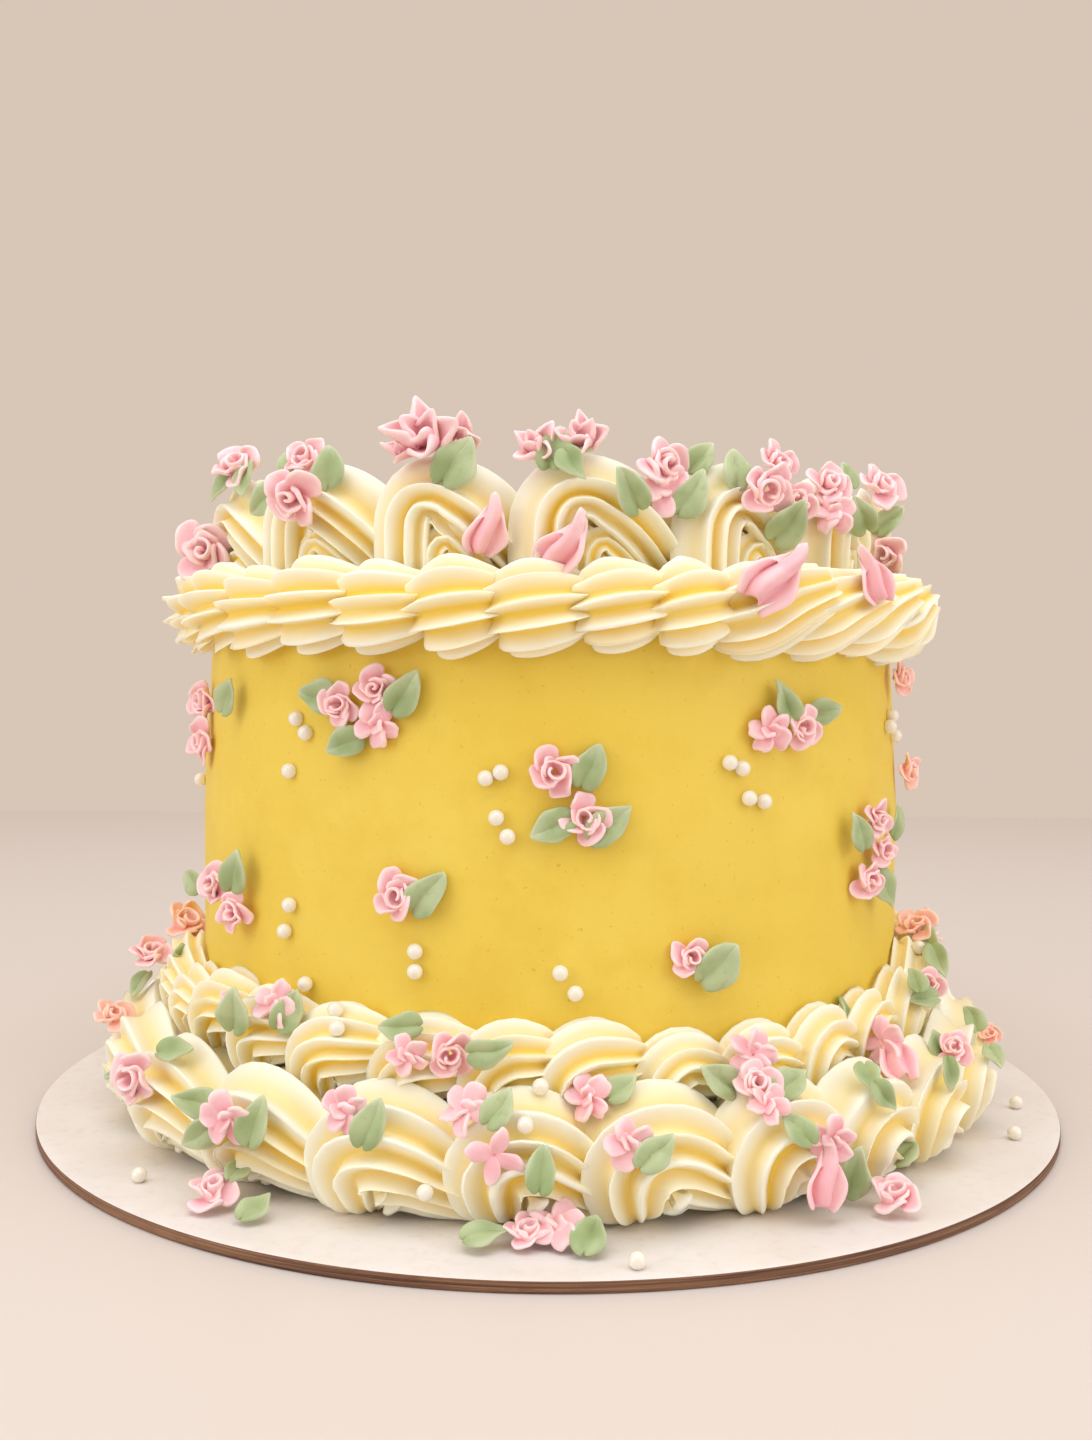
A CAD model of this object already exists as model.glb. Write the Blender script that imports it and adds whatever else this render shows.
# A round birthday cake in yellow icing on its own board: a row of piped shells and a ring
# of tall swirls on the top edge, two rows of shells round the foot, and small piped roses
# with leaves and sugar pearls. Metres, +Z up, the front towards -Y.
# Azimuth 0 is the front, and azimuths grow towards +X.
import math
import random
from collections import namedtuple

import bmesh
import bpy
from mathutils import Euler, Matrix, Vector, noise
from mathutils.bvhtree import BVHTree


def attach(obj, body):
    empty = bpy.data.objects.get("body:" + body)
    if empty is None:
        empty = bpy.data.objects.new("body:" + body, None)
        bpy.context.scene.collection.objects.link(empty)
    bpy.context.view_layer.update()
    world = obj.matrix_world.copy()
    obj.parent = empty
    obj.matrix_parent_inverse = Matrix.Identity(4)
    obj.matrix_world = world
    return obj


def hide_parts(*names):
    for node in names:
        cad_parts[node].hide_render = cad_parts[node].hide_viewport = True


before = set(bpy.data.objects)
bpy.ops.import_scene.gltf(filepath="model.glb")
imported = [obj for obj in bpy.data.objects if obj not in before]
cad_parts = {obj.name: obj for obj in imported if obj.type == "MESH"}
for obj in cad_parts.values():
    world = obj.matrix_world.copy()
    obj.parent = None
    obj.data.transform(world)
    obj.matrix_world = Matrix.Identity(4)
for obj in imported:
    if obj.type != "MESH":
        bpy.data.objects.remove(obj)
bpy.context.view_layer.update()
noise.seed_set(7)  # otherwise the clock seeds it

MM = 0.001

# Sizes, in millimetres
BOARD_THICK = 3.0
CAKE_RADIUS = 105.0
CAKE_TOP_RADIUS = 101.5
TAPER_START = 92.0
CAKE_TOP = 151.0
PEARL_RADIUS = 2.0

# The photograph's camera, in millimetres and degrees
PHOTO_WIDTH, PHOTO_HEIGHT = 1092, 1440
CAMERA_PLACE = (0.0, -465.5, 137.8)
CAMERA_DOWN = 2.79
CAMERA_YAW = -0.17
CAMERA_ROLL = 0.39
CAMERA_PIXELS = 1500.0
SENSOR = 36.0
PHOTO_MIDDLE = (546, 860)
FAR_SIDE = 40.0  # what lies further back than this isn't seen in the photograph


# ---- small helpers

def linear(red, green, blue):
    """A colour given as the eye sees it, 0 to 255, as the shader wants it."""
    def one(c):
        c /= 255.0
        return c / 12.92 if c <= 0.04045 else ((c + 0.055) / 1.055) ** 2.4
    return (one(red), one(green), one(blue), 1.0)


def around(azimuth, radius, height):
    """The point at an azimuth in degrees, a radius and a height."""
    a = math.radians(azimuth)
    return Vector((radius * math.sin(a), -radius * math.cos(a), height))


def along_curve(stations, share):
    """A smooth curve through evenly spaced stations, each a tuple of numbers."""
    last = len(stations) - 1
    at = min(max(share, 0.0), 1.0) * last
    i = min(int(at), last - 1)
    t = at - i
    p0 = stations[max(i - 1, 0)]
    p1 = stations[i]
    p2 = stations[i + 1]
    p3 = stations[min(i + 2, last)]
    return [0.5 * (2 * b + (c - a) * t + (2 * a - 5 * b + 4 * c - d) * t * t
                   + (3 * b - a - 3 * c + d) * t ** 3)
            for a, b, c, d in zip(p0, p1, p2, p3)]


def finish_piece(name, bm, materials, levels=0):
    """A bmesh in millimetres as an object that rides on the model's one body."""
    bmesh.ops.scale(bm, vec=(MM, MM, MM), verts=bm.verts)
    mesh = bpy.data.meshes.new(name)
    bm.to_mesh(mesh)
    bm.free()
    for material in materials:
        mesh.materials.append(material)
    mesh.shade_smooth()
    piece = bpy.data.objects.new(name, mesh)
    bpy.context.scene.collection.objects.link(piece)
    if levels:
        soften = piece.modifiers.new("soften", "SUBSURF")
        soften.levels = levels
        soften.render_levels = levels
    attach(piece, "root")
    return piece


# ---- materials

def new_material(name):
    material = bpy.data.materials.new(name)
    material.use_nodes = True
    tree = material.node_tree
    return material, tree, tree.nodes["Principled BSDF"]


def mixed(tree, factor, first, second):
    mix = tree.nodes.new("ShaderNodeMix")
    mix.data_type = "RGBA"
    if hasattr(factor, "links"):
        tree.links.new(factor, mix.inputs[0])
    else:
        mix.inputs[0].default_value = factor
    for socket, value in ((mix.inputs[6], first), (mix.inputs[7], second)):
        if hasattr(value, "links"):
            tree.links.new(value, socket)
        else:
            socket.default_value = value
    return mix.outputs[2]


def ramped(tree, value, low, high):
    remap = tree.nodes.new("ShaderNodeMapRange")
    remap.inputs["From Min"].default_value = low
    remap.inputs["From Max"].default_value = high
    tree.links.new(value, remap.inputs["Value"])
    return remap.outputs["Result"]


def noise_at(tree, scale, detail=3.0, rough=0.5, stretch=None):
    place = tree.nodes.new("ShaderNodeTexCoord").outputs["Object"]
    if stretch:
        turn = tree.nodes.new("ShaderNodeMapping")
        turn.inputs["Scale"].default_value = stretch
        tree.links.new(place, turn.inputs["Vector"])
        place = turn.outputs["Vector"]
    texture = tree.nodes.new("ShaderNodeTexNoise")
    texture.inputs["Scale"].default_value = scale
    texture.inputs["Detail"].default_value = detail
    texture.inputs["Roughness"].default_value = rough
    tree.links.new(place, texture.inputs["Vector"])
    return texture.outputs["Fac"]


def bumped(tree, shader, heights):
    """Adds bumps one on another: (height socket, depth in mm, strength)."""
    normal = None
    for height, depth, strength in heights:
        bump = tree.nodes.new("ShaderNodeBump")
        bump.inputs["Distance"].default_value = depth * MM
        bump.inputs["Strength"].default_value = strength
        tree.links.new(height, bump.inputs["Height"])
        if normal:
            tree.links.new(normal, bump.inputs["Normal"])
        normal = bump.outputs["Normal"]
    tree.links.new(normal, shader.inputs["Normal"])


def soft_icing(shader, roughness, depth, radii=(1.0, 0.7, 0.35), share=0.25, gloss=0.4):
    """The look of whipped butter and sugar: light soaks in and a soft satin gloss."""
    shader.subsurface_method = "BURLEY"
    shader.inputs["Roughness"].default_value = roughness
    shader.inputs["Subsurface Weight"].default_value = share
    shader.inputs["Subsurface Radius"].default_value = radii
    shader.inputs["Subsurface Scale"].default_value = depth * MM
    shader.inputs["Specular IOR Level"].default_value = gloss


def yellow_icing():
    material, tree, shader = new_material("yellow_icing")
    broad = noise_at(tree, 14.0, 3.0, 0.55, (1.0, 1.0, 1.6))
    patches = noise_at(tree, 60.0, 4.0, 0.6)
    base = mixed(tree, ramped(tree, broad, 0.35, 0.65),
                 linear(238, 207, 80), linear(242, 214, 92))
    base = mixed(tree, ramped(tree, patches, 0.45, 0.75), base, linear(235, 203, 76))
    specks = noise_at(tree, 900.0, 1.0, 0.4)
    base = mixed(tree, ramped(tree, specks, 0.72, 0.80), base, linear(227, 189, 66))
    tree.links.new(base, shader.inputs["Base Color"])
    soft_icing(shader, 0.52, 2.2, share=0.2, gloss=0.3)
    grain = noise_at(tree, 1500.0, 2.0, 0.6)
    swipe = noise_at(tree, 26.0, 3.0, 0.5, (1.0, 1.0, 5.0))
    pits = tree.nodes.new("ShaderNodeTexVoronoi")
    pits.inputs["Scale"].default_value = 130.0
    tree.links.new(tree.nodes.new("ShaderNodeTexCoord").outputs["Object"], pits.inputs["Vector"])
    bumped(tree, shader, [
        (swipe, 0.5, 0.25), (grain, 0.12, 0.35),
        (ramped(tree, pits.outputs["Distance"], 0.03, 0.09), 0.15, 0.4)])
    return material


def cream_piping():
    material, tree, shader = new_material("cream_piping")
    groove = tree.nodes.new("ShaderNodeAttribute")
    groove.attribute_name = "groove"
    broad = noise_at(tree, 30.0, 2.0, 0.5)
    cream = mixed(tree, ramped(tree, broad, 0.35, 0.65),
                  linear(249, 250, 236), linear(248, 247, 229))
    base = mixed(tree, groove.outputs["Fac"], cream, linear(250, 216, 80))
    tree.links.new(base, shader.inputs["Base Color"])
    soft_icing(shader, 0.42, 2.4, (1.0, 0.82, 0.5), share=0.35)
    grain = noise_at(tree, 700.0, 2.0, 0.5)
    wave = noise_at(tree, 120.0, 2.0, 0.5)
    bumped(tree, shader, [(wave, 0.25, 0.18), (grain, 0.05, 0.2)])
    return material


def petal_icing(name, light, deep, rim, gloss=0.4):
    material, tree, shader = new_material(name)
    broad = noise_at(tree, 75.0, 2.0, 0.5)
    fine = noise_at(tree, 380.0, 3.0, 0.6)
    base = mixed(tree, ramped(tree, broad, 0.38, 0.62), light, deep)
    base = mixed(tree, ramped(tree, fine, 0.55, 0.85), base, deep)
    edge = tree.nodes.new("ShaderNodeAttribute")
    edge.attribute_name = "edge"
    base = mixed(tree, ramped(tree, edge.outputs["Fac"], 0.1, 1.0), base, rim)
    tree.links.new(base, shader.inputs["Base Color"])
    soft_icing(shader, 0.46, 1.6, share=0.25, gloss=gloss)
    bumped(tree, shader, [(fine, 0.1, 0.25)])
    return material


def pearl_sugar():
    material, tree, shader = new_material("pearl_sugar")
    shader.inputs["Base Color"].default_value = linear(246, 240, 226)
    shader.inputs["Roughness"].default_value = 0.22
    shader.inputs["Specular IOR Level"].default_value = 0.7
    shader.inputs["Coat Weight"].default_value = 0.6
    shader.inputs["Coat Roughness"].default_value = 0.12
    shader.inputs["Subsurface Weight"].default_value = 0.2
    shader.inputs["Subsurface Radius"].default_value = (1.0, 0.8, 0.6)
    shader.inputs["Subsurface Scale"].default_value = 0.8 * MM
    fine = noise_at(tree, 900.0, 1.0, 0.5)
    bumped(tree, shader, [(fine, 0.04, 0.15)])
    return material


def board_paper():
    material, tree, shader = new_material("board_paper")
    broad = noise_at(tree, 22.0, 5.0, 0.6)
    fibres = noise_at(tree, 260.0, 5.0, 0.7)
    base = mixed(tree, ramped(tree, broad, 0.35, 0.7),
                 linear(236, 231, 229), linear(228, 221, 216))
    base = mixed(tree, ramped(tree, fibres, 0.52, 0.8), base, linear(221, 212, 205))
    tree.links.new(base, shader.inputs["Base Color"])
    shader.inputs["Roughness"].default_value = 0.42
    shader.inputs["Specular IOR Level"].default_value = 0.45
    bumped(tree, shader, [(broad, 0.3, 0.2), (fibres, 0.08, 0.3)])
    return material


def board_core():
    material, tree, shader = new_material("board_core")
    layers = noise_at(tree, 1.0, 3.0, 0.6, (14.0, 14.0, 1500.0))
    streaks = noise_at(tree, 1.0, 4.0, 0.7, (130.0, 130.0, 700.0))
    base = mixed(tree, ramped(tree, layers, 0.36, 0.62),
                 linear(80, 48, 33), linear(152, 112, 82))
    base = mixed(tree, ramped(tree, streaks, 0.5, 0.75), base, linear(112, 74, 52))
    tree.links.new(base, shader.inputs["Base Color"])
    shader.inputs["Roughness"].default_value = 0.75
    bumped(tree, shader, [(layers, 0.25, 0.6), (streaks, 0.1, 0.5)])
    return material


ICING = yellow_icing()
PIPING = cream_piping()
PINK = petal_icing("pink_petals", linear(250, 202, 208), linear(243, 178, 187), linear(255, 226, 229))
PEACH = petal_icing("peach_petals", linear(253, 202, 190), linear(248, 176, 166), linear(255, 222, 212))
GREEN = petal_icing("green_leaves", linear(182, 197, 152), linear(152, 172, 119), linear(204, 214, 180), 0.3)
PEARL = pearl_sugar()
PAPER = board_paper()
CORE = board_core()


# ---- piped rows

# A star nozzle leaves ridges with scooped valleys between them. A row's ridges are
# (angle, depth of the valley that follows): 0 faces out of the bend that the nozzle draws,
# 90 faces the viewer and 180 faces into the bend. The hidden side mirrors them.
SWIRL_RIDGES = [(10, 0.55), (68, 1.0), (94, 1.0), (117, 0.9), (150, 0.8)]
FOOT_RIDGES = [(0, 0.5), (42, 0.75), (69, 1.0), (93, 1.0), (116, 1.0), (138, 1.0), (159, 0.9)]
LEDGE_RIDGES = [(12, 0.6), (46, 0.9), (76, 1.0), (103, 1.0), (130, 1.0), (156, 0.9)]
CURL_RIDGES = [(30, 0.8), (80, 1.0), (120, 1.0), (160, 0.9)]
FAN_RIDGES = [(5, 0.8), (38, 1.0), (72, 1.0), (105, 1.0), (136, 1.0), (161, 0.9)]

# Where between two ridges the section is worked out, on the seen and on the hidden side
SEEN_SHARES = [0.0, 0.03, 0.08, 0.17, 0.3, 0.44, 0.58, 0.72, 0.84, 0.93, 0.975]
HIDDEN_SHARES = [0.0, 0.12, 0.35, 0.62, 0.88]


def section_of(ridges, lean, rng):
    """The nozzle's mark all round: (angle, how deep it lies from 0 to 1, the valley's depth).

    A lean above 1 moves the bottom of a valley towards the ridge that follows it."""
    ring = list(ridges)
    ring += [(360 - angle, ring[i - 1][1]) for i, (angle, _) in reversed(list(enumerate(ring))) if angle > 0]
    columns = []
    for i, (start, depth) in enumerate(ring):
        end = ring[(i + 1) % len(ring)][0]
        if end <= start:
            end += 360
        seen = start + end < 360
        own = depth * (1 + rng.uniform(-0.15, 0.15)) * min(1.0, (end - start) / 26)
        shift = rng.uniform(-2.5, 2.5)
        for share in SEEN_SHARES if seen else HIDDEN_SHARES:
            low = share ** lean if seen else share
            drop = (1 - abs(1 - 2 * low) ** 1.7) * min(1.0, min(share, 1 - share) / 0.05) ** 0.7
            columns.append((math.radians(start + shift + (end - start) * share), drop, own))
    return columns


def seams_round(seams, more):
    """The seams seen from the front, then the rest evenly spaced: (seam, span) in degrees."""
    every = list(seams)
    step = (seams[0] + 360 - seams[-1]) / more
    every += [seams[-1] + i * step for i in range(1, more)]
    return [(seam, (every[i + 1] if i + 1 < len(every) else seams[0] + 360) - seam)
            for i, seam in enumerate(every)]


def pipe_shell(bm, row, form, seam, span, rng):
    """One squeeze of the bag: a ridged tube through the form's stations."""
    section = section_of(form["ridges"], form["lean"], rng)
    steps = row["steps"]
    stretch = span / row["pitch"]
    size = 1 + rng.uniform(-0.05, 0.05)
    level = row["level"] + row["lift"] * math.sin(math.radians(seam + span / 2)) ** 2 + rng.uniform(-0.7, 0.7)
    roll = math.radians(rng.uniform(-6, 6))
    deep = form["groove"] * (1 + rng.uniform(-0.1, 0.1))
    wobble = [rng.uniform(0, 6.28) for _ in range(3)]
    tall = 1 + rng.uniform(-0.07, 0.07)
    count = len(section)
    grid = bmesh.ops.create_grid(bm, x_segments=count, y_segments=steps, size=1.0)["verts"]
    grid.sort(key=lambda v: (round(v.co.y, 5), round(v.co.x, 5)))
    groove_layer = bm.verts.layers.float["groove"]
    out_of_bend = Vector((0, 0, 1))
    to_viewer = Vector((0, 1, 0))
    for r in range(steps + 1):
        share = r / steps
        share = 0.5 * share + 0.5 * share * share * (3 - 2 * share)
        x, out, up, girth = along_curve(form["stations"], share)
        x1, out1, up1, _ = along_curve(form["stations"], share + 0.01)
        x0, out0, up0, _ = along_curve(form["stations"], share - 0.01)
        tangent = Vector(((x1 - x0) * stretch, out1 - out0, (up1 - up0) * tall)).normalized()
        if form["fan"]:
            outer = (out_of_bend - tangent * out_of_bend.dot(tangent)).normalized()
            face = outer.cross(tangent)
        else:
            face = (to_viewer - tangent * to_viewer.dot(tangent)).normalized()
            outer = tangent.cross(face)
        if r in (0, steps):
            girth = 0.0
        tail = max(0.0, (share - 0.3) / 0.7)
        swept = form["twist"] * max(0.0, 1 - share / form["reach"]) ** 2
        for c in range(count + 1):
            angle, drop, valley = section[c % count]
            fall = drop * (valley + (1 - valley) * tail)
            ripple = (1 + 0.02 * math.sin(3 * angle + wobble[0] + 5 * share)
                      + 0.02 * math.sin(9 * share + wobble[1]))
            reach = max(girth, 0.0) * size * ripple * (1 - deep * fall)
            turn = angle + roll + swept
            place = Vector((x * stretch, out, up * tall))
            place += outer * reach * math.cos(turn) + face * reach * math.sin(turn)
            azimuth = seam + math.degrees(place.x / row["radius"])
            spot = around(azimuth, row["radius"] + place.y, level + place.z)
            if spot.z < row["floor"]:
                spot.z = row["floor"] + (spot.z - row["floor"]) * 0.02
            vert = grid[r * (count + 1) + c]
            vert.co = spot
            vert[groove_layer] = min(1.0, fall) ** 1.25


def pipe_row(name, row, node):
    bm = bmesh.new()
    bm.verts.layers.float.new("groove")
    rng = random.Random(row["seed"])
    for i, (seam, span) in enumerate(seams_round(row["seams"], row["more"])):
        form = row["forms"][int(row["order"][i % len(row["order"])])]
        pipe_shell(bm, row, form, seam, span, rng)
        if "inner" in row:
            pipe_shell(bm, dict(row, steps=22), row["inner"], seam, span, rng)
    bmesh.ops.remove_doubles(bm, verts=bm.verts, dist=0.0005)
    bmesh.ops.recalc_face_normals(bm, faces=bm.faces)
    piece = finish_piece(name, bm, [PIPING])
    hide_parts(node)
    return piece


# A form's stations: (along the row, out from its circle, up from its level, girth).
# A fan has a blunt head on the left and runs to the right, under the next shell's head. A sweep
# climbs as it runs and its tail ends in points over the next shell. An arch starts at the
# bottom, climbs and comes down into a long tail. "groove" is how deep the nozzle cuts, as a share
# of the girth. "twist" turns the nozzle, in radians at the head and fading out at the share
# "reach" of the way, and "lean" is section_of's.
RIM_FAN = dict(
    fan=True, ridges=FAN_RIDGES, groove=0.36, twist=0.62, reach=0.7, lean=1.1,
    stations=[(0, -2.2, -3.4, 0), (0.1, -1.9, -3.4, 8.4), (1.1, -1.4, -3.4, 10.9), (3.8, -0.8, -3.4, 12.2),
              (7.6, -0.6, -3.2, 12.4), (12, -1.2, -2.8, 11.2), (16, -2.6, -2.3, 9.2), (19.8, -4.4, -1.9, 7),
              (23.4, -6.2, -1.6, 4.4), (25.6, -7.2, -1.6, 0)])
RIM_FLAT = dict(RIM_FAN, twist=0.16, reach=0.8)
RIM_SWEEP = dict(
    fan=True, ridges=FAN_RIDGES, groove=0.36, twist=0.8, reach=1.1, lean=1.1,
    stations=[(-1, -6, -4.8, 0), (-0.7, -5.4, -4.8, 6.6), (0.8, -4.4, -4.8, 9.8), (4, -2.8, -4.6, 11.6),
              (8.4, -1.2, -4, 12.2), (13, 0.4, -2.9, 11.4), (17.4, 2.2, -1.6, 9.8), (21.6, 4, -0.2, 8.2),
              (25.2, 5.2, 1, 7), (27.6, 5.6, 1.8, 5.8), (28, 5.4, 2, 0)])
LEDGE_WAVE = dict(
    fan=False, ridges=LEDGE_RIDGES, groove=0.36, twist=0.0, reach=1.0, lean=1.3,
    stations=[(4, 0, -12, 0), (3.4, 0.4, -10, 6.6), (3, 0.6, -5, 9), (4.8, 0.5, -0.4, 10.5),
              (9.2, 0, 2.2, 10.8), (14.4, -0.8, 2.6, 9.6), (19, -2.4, 2.4, 7.4), (23, -4.2, 2.2, 4.6),
              (25.6, -5.4, 2, 0)])
LEDGE_ARCH = dict(
    fan=False, ridges=LEDGE_RIDGES, groove=0.35, twist=0.0, reach=1.0, lean=1.3,
    stations=[(7, 1, -15, 0), (6.6, 1, -13, 5.5), (5.8, 1, -8, 8), (6.8, 1, -2.6, 9.2), (10.6, 0.5, 0.2, 9.3),
              (15.6, 0, -0.8, 8.4), (20.6, -1, -3, 6.6), (25.4, -2, -5, 4.2), (27.2, -2.5, -5.8, 0)])
FOOT_ARCH = dict(
    fan=False, ridges=FOOT_RIDGES, groove=0.35, twist=0.0, reach=1.0, lean=1.3,
    stations=[(15, 0, -15, 0), (14, 0, -11, 11), (13, 0, -4.5, 15), (14.6, 0.5, 0.5, 16.3),
              (19.5, 0.5, 2.4, 16), (25.5, 0, 0.8, 14.4), (31.5, -0.5, -2.8, 12), (37, -1.5, -6.2, 9.4),
              (42, -3, -8.8, 6.4), (45, -3, -10, 0)])
INNER_CURL = dict(
    fan=False, ridges=CURL_RIDGES, groove=0.34, twist=0.0, reach=1.0, lean=1.3,
    stations=[(16.4, 3.5, -18, 0), (16.2, 4, -14, 3.6), (16, 4.4, -8, 4.6), (16.6, 4.4, -3.4, 4.8),
              (19.4, 4, -1.2, 4.8), (23, 3, -3.4, 4.6), (26.6, 1.6, -7, 4.2), (30, 0, -10.6, 2.8),
              (31.4, -1, -12, 0)])
CROWN_SWIRL = dict(
    fan=False, ridges=SWIRL_RIDGES, groove=0.42, twist=0.0, reach=1.0, lean=1.7,
    stations=[(8.4, -1, -19, 0), (8.2, 0, -15, 8.6), (8, 1, -8, 10), (8, 1.2, -1, 10.2),
              (8.6, 1.2, 4.6, 10.3), (11.4, 1, 8.6, 10.4), (16, 0.6, 9.4, 10.6), (20.6, -0.6, 7.4, 11.6),
              (25.4, -2.4, 4.2, 12), (30.2, -4.6, 0, 11.6), (35, -6.8, -5, 10.4), (39.6, -8.8, -9.6, 8),
              (43, -10.2, -13, 4), (44.5, -10.8, -14.4, 0)])

ROWS = {
    "top_shells": dict(
        radius=105.0, level=150.6, lift=0.0, pitch=11.0, floor=100.0, more=23, steps=24, seed=3,
        seams=[-50, -38, -27, -16, -6, 5, 15.5, 24, 34.5, 46.5, 57], forms=[RIM_FAN, RIM_FLAT, RIM_SWEEP],
        order="1110000222222221111110000011111000"),
    "top_swirls": dict(
        radius=91.5, level=164.6, lift=0.0, pitch=24.0, floor=151.0, more=10, steps=48, seed=5,
        seams=[-76, -50, -26, -5, 19.5, 43.5, 66], forms=[CROWN_SWIRL], order="0", inner=INNER_CURL),
    "base_upper_shells": dict(
        radius=108.0, level=35.0, lift=7.0, pitch=11.3, floor=3.3, more=22, steps=32, seed=8,
        seams=[-56, -45, -33.5, -21, -8.5, 1, 11.5, 23, 34, 45, 56], forms=[LEDGE_WAVE, LEDGE_ARCH],
        order="00000011111"),
    "base_lower_shells": dict(
        radius=118.5, level=17.0, lift=0.0, pitch=16.0, floor=3.3, more=15, steps=38, seed=11,
        seams=[-62, -44.5, -28.5, -10.5, 3.5, 19, 33.5, 46, 59], forms=[FOOT_ARCH], order="0"),
}
row_pieces = {name: pipe_row(name + "_piped", row, name) for name, row in ROWS.items()}


# ---- cake and board

def cake_radius(height):
    t = min(max((height - TAPER_START) / (CAKE_TOP - TAPER_START), 0.0), 1.0)
    return CAKE_RADIUS + (CAKE_TOP_RADIUS - CAKE_RADIUS) * t


def smoothed_cake():
    """The iced cake, turned from its outline, with the slight unevenness of the scraper."""
    bm = bmesh.new()
    outline = [(0.0, 3.3), (60.0, 3.3), (104.0, 3.3)]
    outline += [(cake_radius(z), z) for z in range(5, 150, 4)]
    outline += [(101.2, 150.2), (100.2, 151.0), (80.0, 151.2), (55.0, 151.0), (30.0, 151.1), (0.0, 151.0)]
    chain = [bm.verts.new((0.0, -radius, height)) for radius, height in outline]
    edges = [bm.edges.new((a, b)) for a, b in zip(chain, chain[1:])]
    bmesh.ops.spin(bm, geom=chain + edges, axis=(0, 0, 1), cent=(0, 0, 0), angle=math.tau,
                   steps=180, use_merge=True, use_duplicate=False)
    bmesh.ops.remove_doubles(bm, verts=bm.verts, dist=0.001)
    for vert in bm.verts:
        out = Vector((vert.co.x, vert.co.y, 0))
        if out.length > 1 and vert.co.z > 4:
            place = vert.co * 0.022
            push = 0.45 * noise.noise(place) + 0.18 * noise.noise(place * 3.1)
            if out.length > 99:
                vert.co += out.normalized() * push
            elif vert.co.z > 140:
                vert.co.z += push
    bmesh.ops.recalc_face_normals(bm, faces=bm.faces)
    piece = finish_piece("iced_cake", bm, [ICING])
    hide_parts("cake_body")
    return piece


def cake_board():
    """The board: a paper face that wraps slightly over a brown layered edge."""
    bm = bmesh.new()
    outline = [(0.0, 0.0), (150.0, 0.0), (152.3, 0.15), (152.5, 0.4), (152.5, 1.2), (152.5, 2.0),
               (152.5, 2.55), (152.35, 2.85), (151.9, 3.0), (149.0, 3.0), (110.0, 3.0), (60.0, 3.0),
               (0.0, 3.0)]
    chain = [bm.verts.new((0.0, -radius, height)) for radius, height in outline]
    edges = [bm.edges.new((a, b)) for a, b in zip(chain, chain[1:])]
    bmesh.ops.spin(bm, geom=chain + edges, axis=(0, 0, 1), cent=(0, 0, 0), angle=math.tau,
                   steps=256, use_merge=True, use_duplicate=False)
    bmesh.ops.remove_doubles(bm, verts=bm.verts, dist=0.001)
    bmesh.ops.recalc_face_normals(bm, faces=bm.faces)
    for face in bm.faces:
        middle = face.calc_center_median()
        if middle.z < 2.7 and Vector((middle.x, middle.y)).length > 151:
            face.material_index = 1
    piece = finish_piece("cake_board", bm, [PAPER, CORE])
    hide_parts("board")
    return piece


cake_piece = smoothed_cake()
board_piece = cake_board()


# ---- camera

camera_data = bpy.data.cameras.new("photo_camera")
camera_data.sensor_fit = "AUTO"
camera_data.sensor_width = SENSOR
camera_data.lens = CAMERA_PIXELS * SENSOR / PHOTO_HEIGHT
camera_data.clip_start = 0.01
camera_data.clip_end = 20.0
camera = bpy.data.objects.new("photo_camera", camera_data)
camera.location = Vector(CAMERA_PLACE) * MM
aim = (Matrix.Rotation(math.radians(-CAMERA_YAW), 4, "Z")
       @ Matrix.Rotation(math.radians(90 - CAMERA_DOWN), 4, "X")
       @ Matrix.Rotation(math.radians(CAMERA_ROLL), 4, "Z"))
camera.rotation_euler = aim.to_euler()
bpy.context.scene.collection.objects.link(camera)
bpy.context.scene.camera = camera


def sight_line(seen):
    """The line from the camera through a point of the photograph: (start, direction)."""
    across = (seen[0] - PHOTO_WIDTH / 2) / CAMERA_PIXELS
    down = (seen[1] - PHOTO_HEIGHT / 2) / CAMERA_PIXELS
    direction = (aim.to_3x3() @ Vector((across, -down, -1.0))).normalized()
    return Vector(CAMERA_PLACE), direction


# ---- seats

def tree_of(*pieces):
    bm = bmesh.new()
    for piece in pieces:
        bm.from_mesh(piece.data)
    bmesh.ops.scale(bm, vec=(1 / MM, 1 / MM, 1 / MM), verts=bm.verts)
    tree = BVHTree.FromBMesh(bm)
    bm.free()
    return tree


all_icing = tree_of(cake_piece, *row_pieces.values())
everything = tree_of(cake_piece, board_piece, *row_pieces.values())


# ---- roses and leaves

def bent_sheet(bm, across, along, shape, thick):
    """A sheet of icing: a grid shaped by a function of (-1 to 1 across, 0 to 1 along)."""
    edge_layer = bm.verts.layers.float.get("edge") or bm.verts.layers.float.new("edge")
    made = bmesh.ops.create_grid(bm, x_segments=across, y_segments=along, size=1.0)
    for vert in made["verts"]:
        u, t = vert.co.x, (vert.co.y + 1) / 2
        vert.co = shape(u, t)
        vert[edge_layer] = max(t ** 4, 0.8 * abs(u) ** 5)
    sheet = list(dict.fromkeys(face for vert in made["verts"] for face in vert.link_faces))
    bmesh.ops.recalc_face_normals(bm, faces=sheet)
    bmesh.ops.solidify(bm, geom=sheet, thickness=thick)


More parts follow.
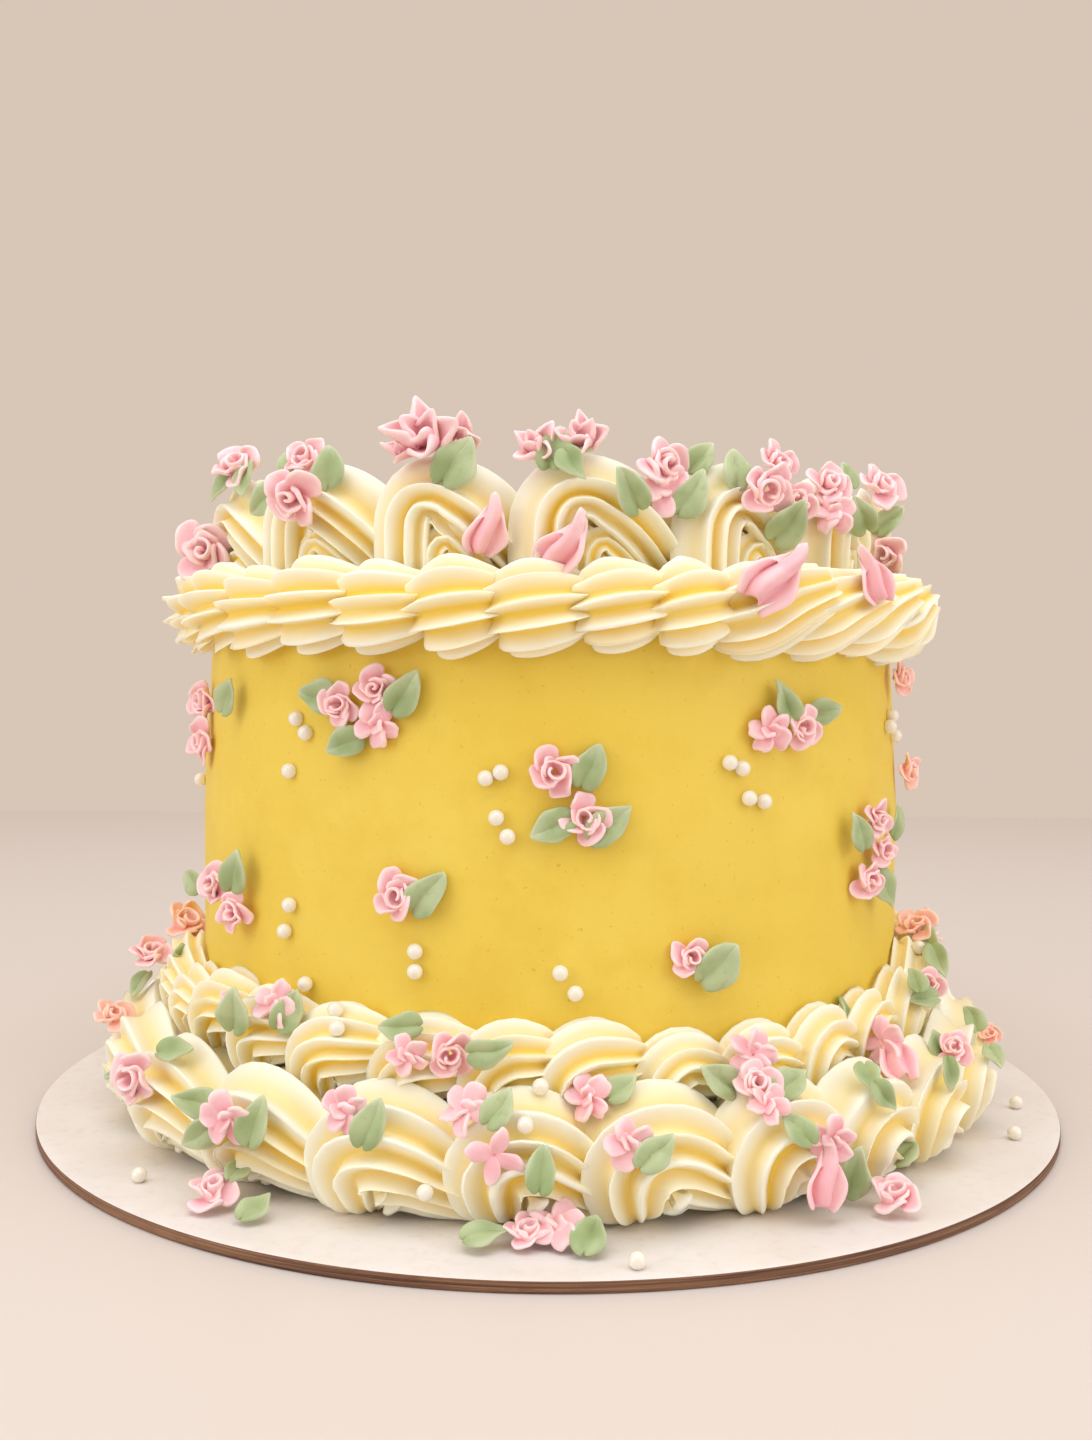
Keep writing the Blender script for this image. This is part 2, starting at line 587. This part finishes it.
def petal(bm, rng, turn, length, wide, rise, start=(0.8, 0.2), cup=1.0, fold=0.0, curl=0.6, twist=0.4,
          ruffle=0.45, point=0.0, thick=0.95):
    """One broad petal: it rises by an angle in degrees, cups, folds and rolls over at its rim."""
    phase = rng.uniform(0, 6.28)
    length *= rng.uniform(0.92, 1.08)
    wide *= rng.uniform(0.92, 1.08)
    lift = Euler((0, -math.radians(rise + rng.uniform(-6, 6)), turn))

    def shape(u, t):
        spread = 0.3 + 0.7 * math.sin(min(1.0, t / 0.72) * math.pi / 2)
        if t > 0.72:
            spread *= 1 - 0.22 * ((t - 0.72) / 0.28) ** 2
        x = length * t * (1 - (0.16 + 0.3 * point) * u * u + point * 0.42 * (1 - abs(u)) * t)
        y = wide * spread * u * (1 - 0.5 * point * t * t)
        z = cup * u * u * t - fold * math.exp(-(u / 0.3) ** 2) * t - curl * t ** 3
        z += ruffle * math.sin(3.3 * u + phase) * t * t
        tilt = twist * t
        y, z = y * math.cos(tilt) - z * math.sin(tilt), y * math.sin(tilt) + z * math.cos(tilt)
        place = Vector((x, y, z))
        place.rotate(lift)
        return place + Vector((start[0] * math.cos(turn), start[0] * math.sin(turn), start[1]))

    bent_sheet(bm, 6, 4, shape, thick)


def rolled_heart(bm, rng, turn, height):
    """The rolled ribbon at a rose's heart."""
    phase = rng.uniform(0, 6.28)

    def shape(u, t):
        share = (u + 1) / 2
        angle = turn + 1.3 * math.tau * share
        radius = 0.6 + 1.9 * share + 0.9 * t * t * share
        return Vector((radius * math.cos(angle), radius * math.sin(angle),
                       (height - 1.1 * share + 0.35 * math.sin(5 * u + phase)) * t))

    bent_sheet(bm, 11, 3, shape, 0.8)


def leaf_half(t):
    """Half a leaf's width along it: two full lobes at its base and a pointed tip."""
    if t < 0.36:
        return 0.55 + 0.45 * math.sin(math.pi / 2 * t / 0.36)
    s = (t - 0.36) / 0.64
    return (1 - s) ** 0.85 * (1 + 0.2 * s) + 0.02


def folded_petal(bm, rng, length, wide, deep, thick):
    """A long petal pointed at its far end, with a lip along its middle and one along each side."""
    sway = rng.uniform(0.7, 1.2)
    lean = rng.uniform(-0.5, 0.5)

    def shape(u, t):
        half = leaf_half(t)
        side = abs(u)
        x = length * (t - 0.5) - 1.2 * side * side * (1 - t) - 1.5 * side * side * t * (1 if u > 0 else 0.4)
        y = wide * half * u + sway * math.sin(math.tau * t + 0.4) * (1 - 0.6 * side) + lean * t
        z = 0.7 + deep * (0.35 + 0.65 * half) * (0.5 + 0.5 * math.cos(math.tau * min(1.0, side * 1.04)))
        z -= 0.5 * deep * side * (1 - 0.5 * t)
        return Vector((x, y, z))

    bent_sheet(bm, 12, 7, shape, thick)


def rose_form(kind, seed):
    """A bloom about 12 mm across, facing +Z."""
    rng = random.Random(seed)
    bm = bmesh.new()
    turn = rng.uniform(0, 6.28)
    if kind == "rose":
        rolled_heart(bm, rng, turn, 5.2)
        for i in range(3):
            petal(bm, rng, turn + 0.4 + i * 2.09, 4.3, 3.0, 58, start=(0.9, 0.2), cup=0.9, twist=0.5,
                  thick=0.85)
        for i in range(4):
            petal(bm, rng, turn + i * 1.571 + rng.uniform(-0.2, 0.2), 6.0, 3.9, 27, cup=1.4, twist=0.55,
                  thick=0.9)
    elif kind == "blossom":
        for i in range(5):
            petal(bm, rng, turn + i * 1.257 + rng.uniform(-0.15, 0.15), 6.2, 2.9, 24, start=(0.3, 0.6),
                  cup=0.3, fold=0.7, curl=1.3, twist=0.75, ruffle=0.4, thick=1.25)
        for i in range(2):
            petal(bm, rng, turn + 0.6 + i * 2.8, 3.4, 2.4, 55, start=(0.2, 1.0), cup=0.4, curl=0.8,
                  twist=0.7, thick=1.1)
    elif kind == "cross":
        for i in range(4):
            petal(bm, rng, turn + i * 1.571 + rng.uniform(-0.12, 0.12), 6.4, 2.0, 20, start=(0.2, 0.6),
                  cup=-0.2, fold=0.45, curl=1.4, twist=0.3, ruffle=0.15, point=0.5, thick=1.4)
    elif kind == "spiky":
        for i in range(3):
            petal(bm, rng, turn + i * 2.09, 6.0, 3.0, 74, start=(0.5, 0.0), cup=0.9, curl=-0.3,
                  twist=0.4, point=0.9)
        for i in range(4):
            petal(bm, rng, turn + 0.5 + i * 1.571, 6.6, 3.8, 42, start=(0.8, 0.0), cup=1.3, curl=-0.4,
                  twist=0.5, ruffle=0.6, point=0.8)
    elif kind == "long":
        folded_petal(bm, rng, 13.5, 5.4, 3.0, 0.85)
    return mesh_of(kind, bm)


def leaf_form(seed):
    """A piped leaf 10 mm long, its tip towards +X: two full lobes on either side of a crease."""
    rng = random.Random(seed)
    bm = bmesh.new()
    wide = rng.uniform(3.7, 4.5)
    tip_lift = rng.uniform(0.2, 2.0)
    bend = rng.uniform(-1.0, 1.0)
    skew = rng.uniform(-0.25, 0.25)
    phase = rng.uniform(0, 6.28)

    def shape(u, t):
        side = abs(u)
        half = wide * leaf_half(t)
        x = 10.0 * (t - 0.5) - 1.9 * math.sin(math.pi * min(side, 1.0)) * (1 - t) ** 2 + 0.8 * side * (1 - t)
        y = half * u * (1 + skew * u) + bend * t * t
        z = 0.3 + 1.9 * math.sin(min(1.0, side * 1.15) * math.pi * 0.62) * (half / 4.0) + tip_lift * t ** 2
        z += 0.3 * math.sin(6 * t + phase) * u * side
        return Vector((x, y, z))

    bent_sheet(bm, 8, 7, shape, 0.9)
    return mesh_of("leaf", bm)


def mesh_of(name, bm):
    bmesh.ops.recalc_face_normals(bm, faces=bm.faces)
    mesh = bpy.data.meshes.new(name)
    bm.to_mesh(mesh)
    bm.free()
    return mesh


FORMS = {kind: [rose_form(kind, 40 + 7 * i + len(kind)) for i in range(5)]
         for kind in ("rose", "blossom", "cross", "spiky", "long")}
FORMS["leaf"] = [leaf_form(90 + i) for i in range(6)]

Bloom = namedtuple("Bloom", "kind seen across turn")

# What the photograph shows: each bloom's form, its point of the photograph, its size across
# in mm and its turn in degrees, anticlockwise as seen. A leaf's tip points that way.
CROWN = {
    "crown_1": [
        Bloom("rose", seen=(240, 470), across=14, turn=20),
        Bloom("leaf", seen=(224, 488), across=10, turn=200),
        Bloom("leaf", seen=(247, 484), across=10, turn=260)],
    "crown_2": [
        Bloom("rose", seen=(297, 495), across=15.5, turn=10),
        Bloom("rose", seen=(308, 462), across=12, turn=70),
        Bloom("leaf", seen=(268, 503), across=11, turn=220),
        Bloom("leaf", seen=(285, 458), across=8, turn=110),
        Bloom("leaf", seen=(331, 468), across=11, turn=85)],
    "crown_3": [
        Bloom("spiky", seen=(425, 443), across=17, turn=60),
        Bloom("spiky", seen=(455, 438), across=12, turn=30),
        Bloom("spiky", seen=(408, 452), across=10, turn=140),
        Bloom("leaf", seen=(457, 462), across=13, turn=60)],
    "crown_4": [
        Bloom("long", seen=(487, 523), across=13, turn=80)],
    "crown_5": [
        Bloom("spiky", seen=(538, 448), across=11, turn=90),
        Bloom("spiky", seen=(580, 443), across=12, turn=45),
        Bloom("leaf", seen=(556, 450), across=12, turn=75),
        Bloom("leaf", seen=(590, 447), across=8, turn=25),
        Bloom("leaf", seen=(573, 468), across=9, turn=300)],
    "crown_6": [
        Bloom("rose", seen=(662, 462), across=15, turn=15),
        Bloom("blossom", seen=(660, 490), across=14, turn=250),
        Bloom("leaf", seen=(627, 487), across=11, turn=115),
        Bloom("leaf", seen=(693, 495), across=12, turn=45),
        Bloom("leaf", seen=(702, 460), across=9, turn=50)],
    "crown_7": [
        Bloom("rose", seen=(764, 488), across=14.5, turn=100),
        Bloom("rose", seen=(775, 465), across=12, turn=10),
        Bloom("rose", seen=(797, 503), across=11, turn=30),
        Bloom("leaf", seen=(733, 470), across=10, turn=95),
        Bloom("leaf", seen=(790, 520), across=12, turn=55)],
    "crown_8": [
        Bloom("rose", seen=(826, 487), across=13, turn=140),
        Bloom("blossom", seen=(832, 516), across=12, turn=60),
        Bloom("rose", seen=(877, 492), across=15, turn=20),
        Bloom("leaf", seen=(858, 510), across=11, turn=110),
        Bloom("leaf", seen=(844, 476), across=8, turn=100),
        Bloom("leaf", seen=(894, 525), across=10, turn=40)],
}
RIM = {
    "rim_1": [
        Bloom("rose", seen=(206, 550), across=18.5, turn=200)],
    "rim_2": [
        Bloom("long", seen=(570, 543), across=15, turn=62)],
    "rim_3": [
        Bloom("long", seen=(776, 574), across=17, turn=52)],
    "rim_4": [
        Bloom("long", seen=(870, 575), across=13, turn=115)],
    "rim_5": [
        Bloom("rose", seen=(908, 552), across=14, turn=80)],
}
SIDE = {
    "side_1": [
        Bloom("rose", seen=(210, 703), across=12.5, turn=40),
        Bloom("rose", seen=(206, 741), across=12.5, turn=190),
        Bloom("leaf", seen=(234, 695), across=9.5, turn=65)],
    "side_2": [
        Bloom("rose", seen=(342, 705), across=11.5, turn=20),
        Bloom("rose", seen=(378, 687), across=11.5, turn=80),
        Bloom("blossom", seen=(380, 724), across=11.5, turn=150),
        Bloom("leaf", seen=(320, 696), across=11, turn=155),
        Bloom("leaf", seen=(408, 690), across=11.5, turn=60),
        Bloom("leaf", seen=(345, 744), across=10, turn=195)],
    "side_3": [
        Bloom("rose", seen=(556, 772), across=12, turn=30),
        Bloom("rose", seen=(584, 818), across=12, turn=200),
        Bloom("leaf", seen=(592, 765), across=11, turn=65),
        Bloom("leaf", seen=(550, 826), across=10.5, turn=195),
        Bloom("leaf", seen=(611, 822), across=12, turn=30)],
    "side_4": [
        Bloom("blossom", seen=(767, 731), across=11.5, turn=60),
        Bloom("rose", seen=(800, 728), across=11.5, turn=10),
        Bloom("leaf", seen=(782, 699), across=10.5, turn=110),
        Bloom("leaf", seen=(823, 712), across=9, turn=5)],
    "side_5": [
        Bloom("rose", seen=(874, 818), across=11, turn=40),
        Bloom("rose", seen=(879, 850), across=10.5, turn=100),
        Bloom("rose", seen=(865, 880), across=11, turn=10),
        Bloom("leaf", seen=(855, 828), across=10, turn=100),
        Bloom("leaf", seen=(893, 819), across=9, turn=60),
        Bloom("leaf", seen=(880, 890), across=11, turn=290)],
    "side_6": [
        Bloom("rose", seen=(219, 884), across=12.5, turn=30),
        Bloom("rose", seen=(238, 912), across=12, turn=300),
        Bloom("leaf", seen=(241, 869), across=11, turn=75),
        Bloom("leaf", seen=(197, 880), across=9, turn=160)],
    "side_7": [
        Bloom("rose", seen=(399, 893), across=13, turn=150),
        Bloom("leaf", seen=(431, 890), across=11.5, turn=50)],
    "side_8": [
        Bloom("rose", seen=(690, 957), across=10.5, turn=70),
        Bloom("leaf", seen=(718, 960), across=12.5, turn=40)],
    "side_9": [
        Bloom("peach_rose", seen=(898, 678), across=10, turn=20)],
    "side_10": [
        Bloom("peach_rose", seen=(905, 771), across=10.5, turn=90)],
    "side_11": [
        Bloom("peach_rose", seen=(918, 930), across=12.5, turn=30),
        Bloom("leaf", seen=(935, 943), across=10, turn=300),
        Bloom("leaf", seen=(937, 965), across=10, turn=280)],
}
LEDGE = {
    "ledge_1": [
        Bloom("peach_rose", seen=(164, 930), across=15.5, turn=10),
        Bloom("rose", seen=(152, 957), across=13.5, turn=70),
        Bloom("rose", seen=(178, 964), across=10.5, turn=20),
        Bloom("leaf", seen=(152, 962), across=10, turn=240),
        Bloom("leaf", seen=(137, 990), across=9, turn=255)],
    "ledge_2": [
        Bloom("blossom", seen=(276, 1005), across=11.5, turn=20),
        Bloom("leaf", seen=(241, 1007), across=11, turn=80),
        Bloom("leaf", seen=(291, 1010), across=10.5, turn=65),
        Bloom("blossom", seen=(231, 1000), across=6, turn=50)],
    "ledge_3": [
        Bloom("rose", seen=(450, 1050), across=12, turn=0),
        Bloom("blossom", seen=(408, 1055), across=9.5, turn=60),
        Bloom("leaf", seen=(400, 1027), across=10, turn=175),
        Bloom("leaf", seen=(494, 1049), across=10.5, turn=5)],
    "ledge_4": [
        Bloom("blossom", seen=(752, 1054), across=11.5, turn=40),
        Bloom("rose", seen=(757, 1086), across=11.5, turn=80),
        Bloom("blossom", seen=(768, 1106), across=9.5, turn=10),
        Bloom("leaf", seen=(715, 1078), across=10.5, turn=150),
        Bloom("leaf", seen=(788, 1085), across=10.5, turn=40)],
    "ledge_5": [
        Bloom("blossom", seen=(868, 1040), across=11.5, turn=20),
        Bloom("long", seen=(893, 1056), across=13, turn=100),
        Bloom("leaf", seen=(876, 1005), across=9, turn=45),
        Bloom("leaf", seen=(868, 1080), across=8, turn=270),
        Bloom("leaf", seen=(881, 1097), across=8, turn=300)],
    "ledge_6": [
        Bloom("rose", seen=(928, 988), across=9.5, turn=60),
        Bloom("leaf", seen=(915, 982), across=8, turn=100),
        Bloom("leaf", seen=(920, 1000), across=8, turn=190)],
}
FOOT = {
    "foot_1": [
        Bloom("peach_rose", seen=(113, 1021), across=12, turn=40),
        Bloom("leaf", seen=(104, 1047), across=10, turn=210)],
    "foot_2": [
        Bloom("blossom", seen=(157, 1037), across=12, turn=70),
        Bloom("rose", seen=(146, 1070), across=14.5, turn=10),
        Bloom("leaf", seen=(178, 1054), across=9, turn=0),
        Bloom("leaf", seen=(139, 1034), across=8, turn=120)],
    "foot_3": [
        Bloom("blossom", seen=(230, 1114), across=13, turn=80),
        Bloom("leaf", seen=(195, 1108), across=11, turn=170),
        Bloom("leaf", seen=(200, 1133), across=9.5, turn=215),
        Bloom("leaf", seen=(258, 1118), across=11, turn=75)],
    "foot_4": [
        Bloom("blossom", seen=(347, 1110), across=11.5, turn=100),
        Bloom("leaf", seen=(376, 1121), across=10.5, turn=70)],
    "foot_5": [
        Bloom("blossom", seen=(468, 1110), across=11.5, turn=30),
        Bloom("leaf", seen=(503, 1108), across=9.5, turn=60)],
    "foot_6": [
        Bloom("cross", seen=(496, 1155), across=11, turn=60),
        Bloom("leaf", seen=(541, 1168), across=10.5, turn=70)],
    "foot_7": [
        Bloom("blossom", seen=(592, 1100), across=11.5, turn=120),
        Bloom("leaf", seen=(625, 1090), across=8.5, turn=35)],
    "foot_8": [
        Bloom("blossom", seen=(628, 1141), across=11.5, turn=200),
        Bloom("leaf", seen=(656, 1150), across=10, turn=45)],
    "foot_9": [
        Bloom("blossom", seen=(828, 1136), across=11.5, turn=30),
        Bloom("long", seen=(820, 1172), across=13.5, turn=75),
        Bloom("leaf", seen=(795, 1129), across=9, turn=130),
        Bloom("leaf", seen=(855, 1166), across=11.5, turn=65)],
    "foot_10": [
        Bloom("rose", seen=(952, 1056), across=10, turn=30),
        Bloom("leaf", seen=(935, 1049), across=9, turn=100),
        Bloom("leaf", seen=(945, 1074), across=8, turn=280)],
    "foot_11": [
        Bloom("peach_rose", seen=(990, 1036), across=7, turn=60),
        Bloom("leaf", seen=(972, 1020), across=9, turn=95),
        Bloom("leaf", seen=(994, 1060), across=7, turn=290)],
}
BOARD = {
    "board_1": [
        Bloom("rose", seen=(214, 1196), across=13.5, turn=20),
        Bloom("leaf", seen=(240, 1190), across=8, turn=70),
        Bloom("leaf", seen=(258, 1210), across=9.5, turn=60)],
    "board_2": [
        Bloom("rose", seen=(528, 1236), across=11, turn=160),
        Bloom("blossom", seen=(556, 1230), across=13.5, turn=20),
        Bloom("leaf", seen=(487, 1239), across=10, turn=20),
        Bloom("leaf", seen=(593, 1240), across=10.5, turn=65)],
    "board_3": [
        Bloom("rose", seen=(894, 1201), across=13, turn=10),
        Bloom("leaf", seen=(908, 1176), across=9, turn=40)],
}


# The sprays that are repeated behind, and those of the foot that are one with their row
BEHIND = {"crown_2", "crown_3", "crown_5", "crown_6", "side_1", "side_2", "side_3", "side_4", "side_6",
          "side_7", "side_8", "ledge_1", "ledge_3", "ledge_5", "foot_2", "foot_3", "foot_4", "foot_5", "rim_1"}
ON_ROW = ("foot_4", "foot_5", "foot_6", "foot_7", "foot_8")


def photo_seat(seen, across, carrier):
    """Where a bloom seen at a point of the photograph sits, and which way it faces.

    It rests on the ridges under it. Past the icing's edge it leans against the nearest icing
    towards the middle of the photograph."""
    start, direction = sight_line(seen)
    hit = None
    steps = 0
    while not hit or hit.y > FAR_SIDE:
        share = steps * 0.01
        point = [s + (middle - s) * share for s, middle in zip(seen, PHOTO_MIDDLE)]
        hit, normal, _, depth = carrier.ray_cast(start, sight_line(point)[1])
        steps += 1
    facing = normal.copy()
    nearest = depth
    ring = 0.3 * across / depth * CAMERA_PIXELS
    for i in range(8):
        right, up = ring * math.cos(i * math.pi / 4), ring * math.sin(i * math.pi / 4)
        beside = sight_line((seen[0] + right, seen[1] + up))[1]
        _, near_normal, _, near_depth = carrier.ray_cast(start, beside)
        if near_normal and near_depth < depth + 10:
            facing += 0.5 * near_normal
            nearest = min(nearest, max(near_depth, depth - 9.0) + 0.8)
    place = start + direction * nearest
    gap = place - hit
    if steps > 1 and gap.length > 0.36 * across:
        place = hit + gap.normalized() * 0.36 * across
    facing = (facing.normalized() - 0.45 * direction).normalized()
    return lifted(place, facing, across, carrier), facing


def lifted(place, facing, across, carrier):
    """The place, moved out until the bloom rests on the highest ridge under it."""
    right = facing.orthogonal().normalized()
    up = facing.cross(right)
    lift = 0.0
    for i in range(17):
        reach = (0.28 if i % 2 else 0.14) * across if i else 0.0
        spot = place + reach * (right * math.cos(i * math.pi / 8) + up * math.sin(i * math.pi / 8))
        hit, _, _, fall = carrier.ray_cast(spot + facing * 8, -facing, 8)
        if hit:
            lift = max(lift, 8 - fall)
    return place + facing * min(0.9 * lift, 6.0)


def spray_seat(place, facing, turn, size, sink):
    """A turn on the seat: the form's +X goes turn degrees from the photograph's right."""
    right = aim.to_3x3() @ Vector((1, 0, 0))
    right = (right - facing * right.dot(facing)).normalized()
    up = facing.cross(right)
    basis = Matrix((right, up, facing)).transposed().to_4x4()
    return (Matrix.Translation(place - facing * sink) @ basis
            @ Matrix.Rotation(math.radians(turn), 4, "Z") @ Matrix.Scale(size, 4))


def lay_form(bm, form, seat, colour, rng):
    """Adds one form to a spray's mesh, a little bent so that no two are alike."""
    first = len(bm.verts)
    first_face = len(bm.faces)
    bm.from_mesh(form)
    bm.verts.ensure_lookup_table()
    bm.faces.ensure_lookup_table()
    shift = Vector((rng.uniform(-50, 50), rng.uniform(-50, 50), 0))
    for vert in bm.verts[first:]:
        bent = noise.noise_vector(vert.co * 0.22 + shift) * 0.9
        vert.co = seat @ (vert.co + bent)
    for face in bm.faces[first_face:]:
        face.material_index = colour


def spray_piece(name, sprays, nodes, seed):
    """All sprays of one place as one piece, with the ones behind turned by half a turn."""
    rng = random.Random(seed)
    bm = bmesh.new()
    for spray, blooms in sprays.items():
        backs = [0, 0]
        for kind, seen, across, turn in blooms:
            leafy = kind == "leaf"
            peach = kind.startswith("peach_")
            forms = FORMS[kind[6:] if peach else kind]
            place, facing = photo_seat(seen, across, everything if spray in BOARD else all_icing)
            scale = across / (10.0 if leafy else 12.0)
            colour = 2 if leafy else 1 if peach else 0
            form = rng.choice(forms)
            turn += rng.uniform(-8, 8)
            lay_form(bm, form, spray_seat(place, facing, turn, scale, 0.0 if leafy else 0.5), colour, rng)
            backs[leafy] += 1
            if spray in BEHIND and backs[leafy] <= (1 if leafy else 2):
                half_turn = Matrix.Rotation(math.pi, 4, "Z")
                far_place, far_facing = half_turn @ place, half_turn.to_3x3() @ facing
                hit, _, _, _ = everything.ray_cast(far_place + far_facing * 12, -far_facing, 22)
                if hit:
                    far_place = hit
                seat = half_turn @ spray_seat(place, facing, turn, scale, 0.5)
                seat.translation = far_place - far_facing * 0.5
                lay_form(bm, rng.choice(forms), seat, colour, rng)
    piece = finish_piece(name, bm, [PINK, PEACH, GREEN], levels=1)
    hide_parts(*nodes)
    return piece


def nodes_for(sprays):
    return [node for spray in sprays for node in (spray, spray + "_back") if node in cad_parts]


def without(sprays, left_out):
    return {spray: blooms for spray, blooms in sprays.items() if spray not in left_out}


spray_piece("crown_sprays", without(CROWN, ["crown_4"]), nodes_for(CROWN), 21)
spray_piece("swirl_rose", {"crown_4": CROWN["crown_4"]}, ["top_swirls"], 22)
spray_piece("rim_sprays", RIM, ["top_shells"], 23)
spray_piece("side_sprays", SIDE, nodes_for(SIDE), 24)
spray_piece("ledge_sprays", LEDGE, nodes_for(LEDGE), 25)
spray_piece("foot_sprays", without(FOOT, ON_ROW), nodes_for(FOOT), 26)
spray_piece("foot_roses", {spray: FOOT[spray] for spray in ON_ROW}, ["base_lower_shells"], 27)
spray_piece("board_sprays", BOARD, nodes_for(BOARD), 28)


# ---- pearls

# Pearls on the side: (azimuth in degrees, height in mm). On the board: (azimuth, radius in mm).
# On the rows at the foot: the points of the photograph where they are seen.
SIDE_PEARLS = [
    (-38.5, 119), (-36.5, 115.5), (-39.5, 105.5), (-39, 71), (-40, 64), (-18, 63), (-18, 58), (-8.5, 106),
    (-6.5, 107.5), (-7, 96.5), (-5.5, 92), (1.5, 59), (3.5, 54), (25, 109.5), (27, 108), (28, 100.5),
    (30.5, 99.5), (-77, 98), (68, 119), (66, 116), (70.5, 113), (141.5, 119), (143.5, 115.5)]
BOARD_PEARLS = [(-47, 140), (7.7, 147), (78, 141), (66, 141), (133, 140), (187.7, 147)]
Pearl = namedtuple("Pearl", "seen")
ROW_PEARLS = [
    Pearl(seen=(339, 1012)), Pearl(seen=(340, 1025)), Pearl(seen=(540, 1092)), Pearl(seen=(525, 1121)),
    Pearl(seen=(428, 1185)), Pearl(seen=(310, 983)), Pearl(seen=(915, 922)), Pearl(seen=(925, 925)),
    Pearl(seen=(920, 953))]


def pearl_piece(name, centres, node):
    bm = bmesh.new()
    for centre in centres:
        made = bmesh.ops.create_uvsphere(bm, u_segments=20, v_segments=12, radius=PEARL_RADIUS)
        bmesh.ops.translate(bm, vec=centre, verts=made["verts"])
    piece = finish_piece(name, bm, [PEARL])
    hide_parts(node)
    return piece


def on_icing(seen):
    """A pearl's centre where the photograph shows it, its underside just sunk into the icing."""
    start, direction = sight_line(seen)
    hit, normal, _, _ = everything.ray_cast(start, direction)
    return hit + normal * 0.9 * PEARL_RADIUS if hit and hit.y < FAR_SIDE else None


row_pearls = [centre for centre in (on_icing(pearl.seen) for pearl in ROW_PEARLS) if centre]
side_pearls = [around(azimuth, cake_radius(height) + 1.3, height) for azimuth, height in SIDE_PEARLS]
board_pearls = [around(azimuth, radius, BOARD_THICK + 1.8) for azimuth, radius in BOARD_PEARLS]
pearl_piece("row_pearls", row_pearls, "base_lower_shells")
pearl_piece("side_pearls", side_pearls, "cake_body")
pearl_piece("board_pearls", board_pearls, "board")


# ---- floor and light

def pale_floor():
    bm = bmesh.new()
    bmesh.ops.create_grid(bm, x_segments=1, y_segments=1, size=0.5)
    bmesh.ops.scale(bm, vec=(6.0, 3.0, 1.0), verts=bm.verts)
    far = 0.765
    bmesh.ops.translate(bm, vec=(0, far - 1.5, 0), verts=bm.verts)
    mesh = bpy.data.meshes.new("floor")
    bm.to_mesh(mesh)
    bm.free()
    material, _, shader = new_material("pale_floor")
    shader.inputs["Base Color"].default_value = linear(219, 210, 204)
    shader.inputs["Roughness"].default_value = 0.4
    shader.inputs["Specular IOR Level"].default_value = 0.35
    mesh.materials.append(material)
    floor = bpy.data.objects.new("floor", mesh)
    bpy.context.scene.collection.objects.link(floor)


def soft_light(name, place, aim_at, size, power, colour=(1.0, 1.0, 1.0)):
    data = bpy.data.lights.new(name, "AREA")
    data.shape = "RECTANGLE"
    data.size, data.size_y = size
    data.energy = power
    data.color = colour
    light = bpy.data.objects.new(name, data)
    light.location = place
    light.rotation_euler = (Vector(aim_at) - Vector(place)).to_track_quat("-Z", "Y").to_euler()
    bpy.context.scene.collection.objects.link(light)


pale_floor()
soft_light("overhead", (0.0, -0.25, 1.15), (0, 0, 0.08), (1.3, 1.1), 8.5, (0.9, 0.99, 1.07))
soft_light("left_window", (-1.1, -0.65, 0.55), (0, 0, 0.08), (0.9, 0.9), 4.8, (0.9, 0.99, 1.07))
soft_light("right_window", (1.1, -0.6, 0.55), (0, 0, 0.08), (0.9, 0.9), 4.1, (0.9, 0.99, 1.07))

world = bpy.data.worlds.new("pale_room")
bpy.context.scene.world = world
bpy.context.scene.view_settings.view_transform = "Standard"
world.use_nodes = True
backdrop = world.node_tree.nodes["Background"]
backdrop.inputs["Color"].default_value = linear(216, 198, 183)
backdrop.inputs["Strength"].default_value = 1.0
